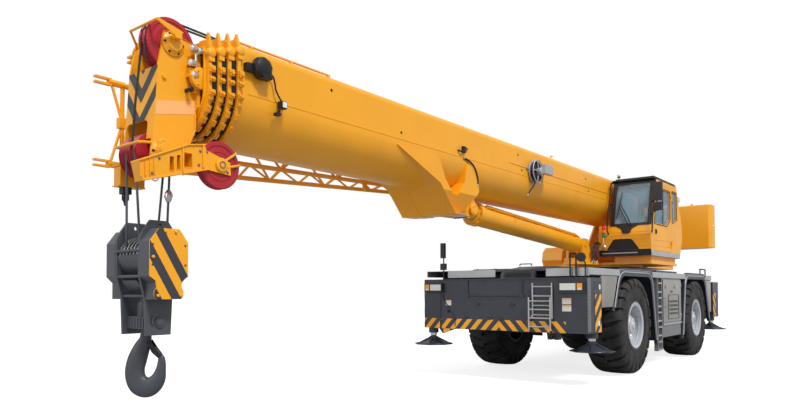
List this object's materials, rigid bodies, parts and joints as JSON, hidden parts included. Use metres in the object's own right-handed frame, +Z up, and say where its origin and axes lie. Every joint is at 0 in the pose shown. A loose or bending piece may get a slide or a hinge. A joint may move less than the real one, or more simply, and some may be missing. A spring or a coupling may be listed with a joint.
{
  "type": "mobile crane",
  "caption": "Rough-terrain mobile crane with a telescopic boom, slewing cab and counterweight, steered wheels, outriggers and a hook block.",
  "frame": {"origin": "on the ground under the middle of the crane's length and width", "axes": "+X along the boom towards the hook, +Y to the crane's left, +Z up"},
  "size_m": [16.34, 3.66, 4.135],
  "materials": {
    "carrier_paint": "satin dark slate grey",
    "crane_paint": "glossy orange-yellow",
    "silver_paint": "silver",
    "light_grey_paint": "satin light grey",
    "black_paint": "satin black",
    "red_paint": "satin red",
    "cast_grey": "painted casting",
    "hook_steel": "satin black",
    "chrome_rod": "polished",
    "rubber": "dusty black",
    "cab_trim": "matte",
    "glass": "tinted"
  },
  "bodies": {
    "carrier": {"carrier_frame": "carrier_paint", "deck": "carrier_paint", "side_cabinets": "carrier_paint", "front_hood": "carrier_paint", "engine_hood": "carrier_paint", "engine_block": "cast_grey", "front_axle": "cast_grey", "rear_axle": "cast_grey", "ladders": "light_grey_paint", "carrier_rails": "black_paint"},
    "knuckle_front_left": {"knuckle_front_left": "cast_grey"},
    "wheel_front_left": {"rim_front_left": "silver_paint", "tyre_front_left": "rubber"},
    "beam_front_left": {"outrigger_beam_front_left": "carrier_paint"},
    "jack_front_left": {"jack_leg_front_left": "light_grey_paint"},
    "knuckle_front_right": {"knuckle_front_right": "cast_grey"},
    "wheel_front_right": {"rim_front_right": "silver_paint", "tyre_front_right": "rubber"},
    "beam_front_right": {"outrigger_beam_front_right": "carrier_paint"},
    "jack_front_right": {"jack_leg_front_right": "light_grey_paint"},
    "knuckle_rear_left": {"knuckle_rear_left": "cast_grey"},
    "wheel_rear_left": {"rim_rear_left": "silver_paint", "tyre_rear_left": "rubber"},
    "beam_rear_left": {"outrigger_beam_rear_left": "carrier_paint"},
    "jack_rear_left": {"jack_leg_rear_left": "light_grey_paint"},
    "knuckle_rear_right": {"knuckle_rear_right": "cast_grey"},
    "wheel_rear_right": {"rim_rear_right": "silver_paint", "tyre_rear_right": "rubber"},
    "beam_rear_right": {"outrigger_beam_rear_right": "carrier_paint"},
    "jack_rear_right": {"jack_leg_rear_right": "light_grey_paint"},
    "turntable": {"turntable_frame": "crane_paint", "counterweight": "crane_paint", "winches": "light_grey_paint", "cab_tub": "crane_paint", "cab_shell": "crane_paint", "cab_glass": "glass", "cab_interior": "cab_trim", "cab_fittings": "black_paint"},
    "cab_door": {"cab_door": "crane_paint", "door_glass": "glass"},
    "boom": {"boom_base": "crane_paint", "stowed_jib": "crane_paint"},
    "section_2": {"boom_section_2": "crane_paint"},
    "section_3": {"boom_section_3": "crane_paint"},
    "section_4": {"boom_section_4": "crane_paint"},
    "head": {"boom_head": "crane_paint", "head_sheaves": "red_paint", "aux_bracket": "crane_paint"},
    "luff_barrel": {"luff_barrel": "crane_paint"},
    "luff_rod": {"luff_rod": "chrome_rod"},
    "hook_block": {"hook_block": "carrier_paint"},
    "hook": {"hook": "hook_steel"}
  },
  "joints": [
    {"name": "steer_front_left", "type": "hinge", "parent": "carrier", "child": "knuckle_front_left", "pos_m": [-1.205, 0.95, 0.91], "axis": [0, 0, 1], "range_deg": [-28, 28]},
    {"name": "spin_front_left", "type": "hinge", "parent": "knuckle_front_left", "child": "wheel_front_left", "pos_m": [-1.205, 1.245, 0.91], "axis": [0, 1, 0], "continuous": true},
    {"name": "beam_front_left_slide", "type": "slide", "parent": "carrier", "child": "beam_front_left", "axis": [0, 1, 0], "range_m": [0, 2]},
    {"name": "jack_front_left_slide", "type": "slide", "parent": "beam_front_left", "child": "jack_front_left", "axis": [0, 0, -1], "range_m": [0, 0.62]},
    {"name": "steer_front_right", "type": "hinge", "parent": "carrier", "child": "knuckle_front_right", "pos_m": [-1.205, -0.95, 0.91], "axis": [0, 0, 1], "range_deg": [-28, 28]},
    {"name": "spin_front_right", "type": "hinge", "parent": "knuckle_front_right", "child": "wheel_front_right", "pos_m": [-1.205, -1.245, 0.91], "axis": [0, 1, 0], "continuous": true},
    {"name": "beam_front_right_slide", "type": "slide", "parent": "carrier", "child": "beam_front_right", "axis": [0, -1, 0], "range_m": [0, 2]},
    {"name": "jack_front_right_slide", "type": "slide", "parent": "beam_front_right", "child": "jack_front_right", "axis": [0, 0, -1], "range_m": [0, 0.62]},
    {"name": "steer_rear_left", "type": "hinge", "parent": "carrier", "child": "knuckle_rear_left", "pos_m": [-5.555, 0.95, 0.91], "axis": [0, 0, 1], "range_deg": [-28, 28]},
    {"name": "spin_rear_left", "type": "hinge", "parent": "knuckle_rear_left", "child": "wheel_rear_left", "pos_m": [-5.555, 1.245, 0.91], "axis": [0, 1, 0], "continuous": true},
    {"name": "beam_rear_left_slide", "type": "slide", "parent": "carrier", "child": "beam_rear_left", "axis": [0, 1, 0], "range_m": [0, 2]},
    {"name": "jack_rear_left_slide", "type": "slide", "parent": "beam_rear_left", "child": "jack_rear_left", "axis": [0, 0, -1], "range_m": [0, 0.62]},
    {"name": "steer_rear_right", "type": "hinge", "parent": "carrier", "child": "knuckle_rear_right", "pos_m": [-5.555, -0.95, 0.91], "axis": [0, 0, 1], "range_deg": [-28, 28]},
    {"name": "spin_rear_right", "type": "hinge", "parent": "knuckle_rear_right", "child": "wheel_rear_right", "pos_m": [-5.555, -1.245, 0.91], "axis": [0, 1, 0], "continuous": true},
    {"name": "beam_rear_right_slide", "type": "slide", "parent": "carrier", "child": "beam_rear_right", "axis": [0, -1, 0], "range_m": [0, 2]},
    {"name": "jack_rear_right_slide", "type": "slide", "parent": "beam_rear_right", "child": "jack_rear_right", "axis": [0, 0, -1], "range_m": [0, 0.62]},
    {"name": "slew", "type": "hinge", "parent": "carrier", "child": "turntable", "pos_m": [-3.63, 0, 2.074], "axis": [0, 0, 1], "continuous": true},
    {"name": "cab_door_hinge", "type": "hinge", "parent": "turntable", "child": "cab_door", "pos_m": [-4.083, 1.446, 2.59], "axis": [0, 0, 1], "range_deg": [0, 80]},
    {"name": "boom_luff", "type": "hinge", "parent": "turntable", "child": "boom", "pos_m": [-5.33, 0, 3.42], "axis": [0, -1, 0], "range_deg": [0, 78]},
    {"name": "section_2_slide", "type": "slide", "parent": "boom", "child": "section_2", "axis": [1, 0, 0], "range_m": [0, 8.4]},
    {"name": "section_3_slide", "type": "slide", "parent": "section_2", "child": "section_3", "axis": [1, 0, 0], "range_m": [0, 8.4]},
    {"name": "section_4_slide", "type": "slide", "parent": "section_3", "child": "section_4", "axis": [1, 0, 0], "range_m": [0, 8.4]},
    {"name": "head_slide", "type": "slide", "parent": "section_4", "child": "head", "axis": [1, 0, 0], "range_m": [0, 8.4]},
    {"name": "luff_barrel_hinge", "type": "hinge", "parent": "turntable", "child": "luff_barrel", "pos_m": [-2.27, 0, 2.56], "axis": [0, -1, 0], "range_deg": [0, 93.2]},
    {"name": "luff_rod_slide", "type": "slide", "parent": "luff_barrel", "child": "luff_rod", "axis": [0.998, 0, 0.0628], "range_m": [0, 3.685]},
    {"name": "hook_swing", "type": "hinge", "parent": "head", "child": "hook_block", "pos_m": [7.82, 0, 2.835], "axis": [0, 1, 0], "range_deg": [-10, 80]},
    {"name": "hook_swivel", "type": "hinge", "parent": "hook_block", "child": "hook", "pos_m": [7.82, 0, 1.27], "axis": [0, 0, 1], "continuous": true}
  ],
  "couplings": [
    {"joint": "section_3_slide", "follows": "section_2_slide", "ratio": 1},
    {"joint": "section_4_slide", "follows": "section_2_slide", "ratio": 1},
    {"joint": "head_slide", "follows": "section_2_slide", "ratio": 1},
    {"joint": "luff_barrel_hinge", "follows": "boom_luff", "ratio": 1.1883},
    {"joint": "luff_rod_slide", "follows": "boom_luff", "m_per_rad": 2.6992}
  ]
}
